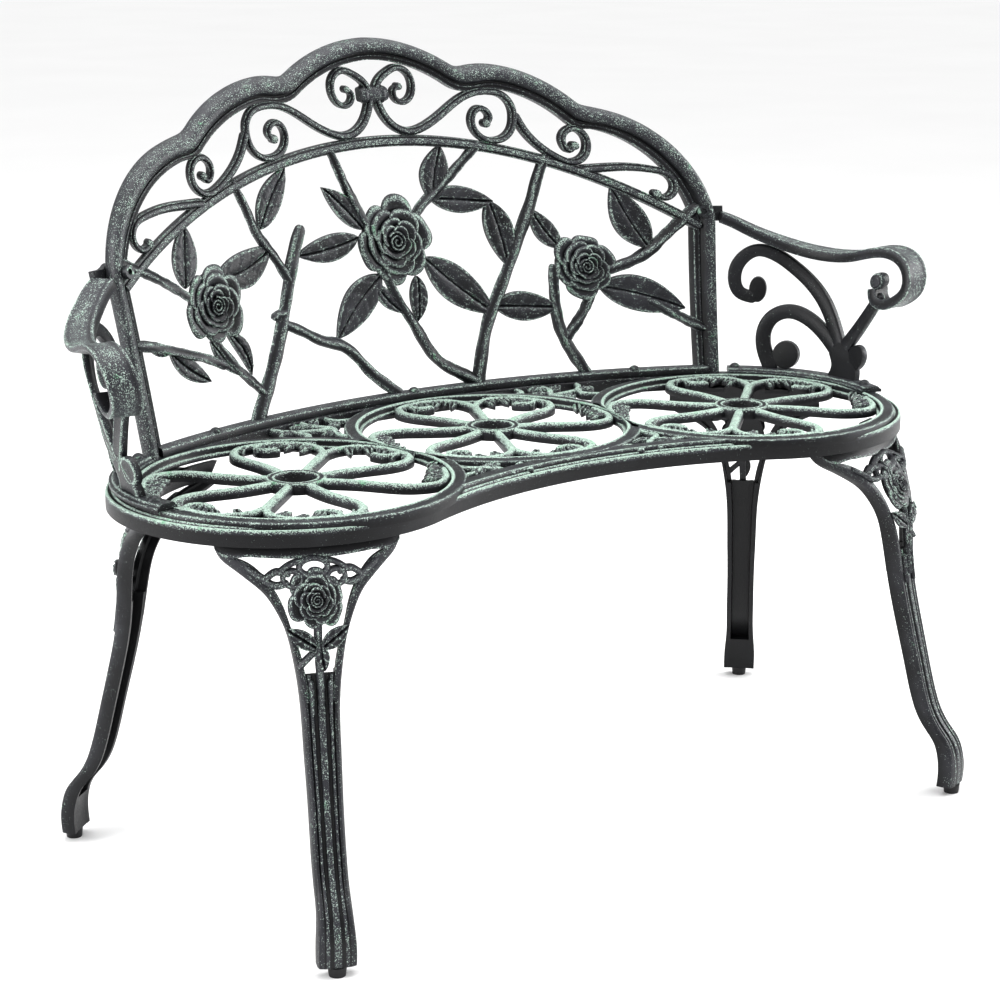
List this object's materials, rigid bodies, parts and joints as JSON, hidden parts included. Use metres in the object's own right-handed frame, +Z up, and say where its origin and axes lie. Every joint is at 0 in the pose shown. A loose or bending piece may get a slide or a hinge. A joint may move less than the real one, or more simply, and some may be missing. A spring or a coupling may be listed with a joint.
{
  "type": "garden bench",
  "caption": "Two-seat cast metal garden bench with rose-branch backrest, three pierced round seat panels, scrolled arms and four curved legs.",
  "frame": {"origin": "on the floor, under the middle of the bench's bounding box", "axes": "+X to the right of someone looking at the bench's front, +Y to the backrest, +Z up"},
  "size_m": [1.048, 0.611, 0.816],
  "materials": {
    "cast_metal": "near-black paint with pale green brushed over the raised edges",
    "fastener": "blackened",
    "glide": "plain black moulded plastic"
  },
  "bodies": {
    "bench": {"seat": "cast_metal", "backrest": "cast_metal", "arm_left": "cast_metal", "arm_right": "cast_metal", "leg_front_left": "cast_metal", "leg_front_right": "cast_metal", "leg_rear_left": "cast_metal", "leg_rear_right": "cast_metal", "back_bolts": "fastener", "back_nuts": "fastener", "arm_foot_bolts": "fastener", "arm_foot_nuts": "fastener", "arm_back_bolts": "fastener", "arm_back_nuts": "fastener", "leg_bolts": "fastener"},
    "glide_body_front_left": {"glide_front_left": "glide", "glide_stud_front_left": "fastener"},
    "glide_body_front_right": {"glide_front_right": "glide", "glide_stud_front_right": "fastener"},
    "glide_body_rear_left": {"glide_rear_left": "glide", "glide_stud_rear_left": "fastener"},
    "glide_body_rear_right": {"glide_rear_right": "glide", "glide_stud_rear_right": "fastener"}
  },
  "joints": [
    {"name": "glide_front_left_screw", "type": "slide", "parent": "bench", "child": "glide_body_front_left", "axis": [0, 0, 1], "range_m": [-0.008, 0]},
    {"name": "glide_front_right_screw", "type": "slide", "parent": "bench", "child": "glide_body_front_right", "axis": [0, 0, 1], "range_m": [-0.008, 0]},
    {"name": "glide_rear_left_screw", "type": "slide", "parent": "bench", "child": "glide_body_rear_left", "axis": [0, 0, 1], "range_m": [-0.008, 0]},
    {"name": "glide_rear_right_screw", "type": "slide", "parent": "bench", "child": "glide_body_rear_right", "axis": [0, 0, 1], "range_m": [-0.008, 0]}
  ]
}
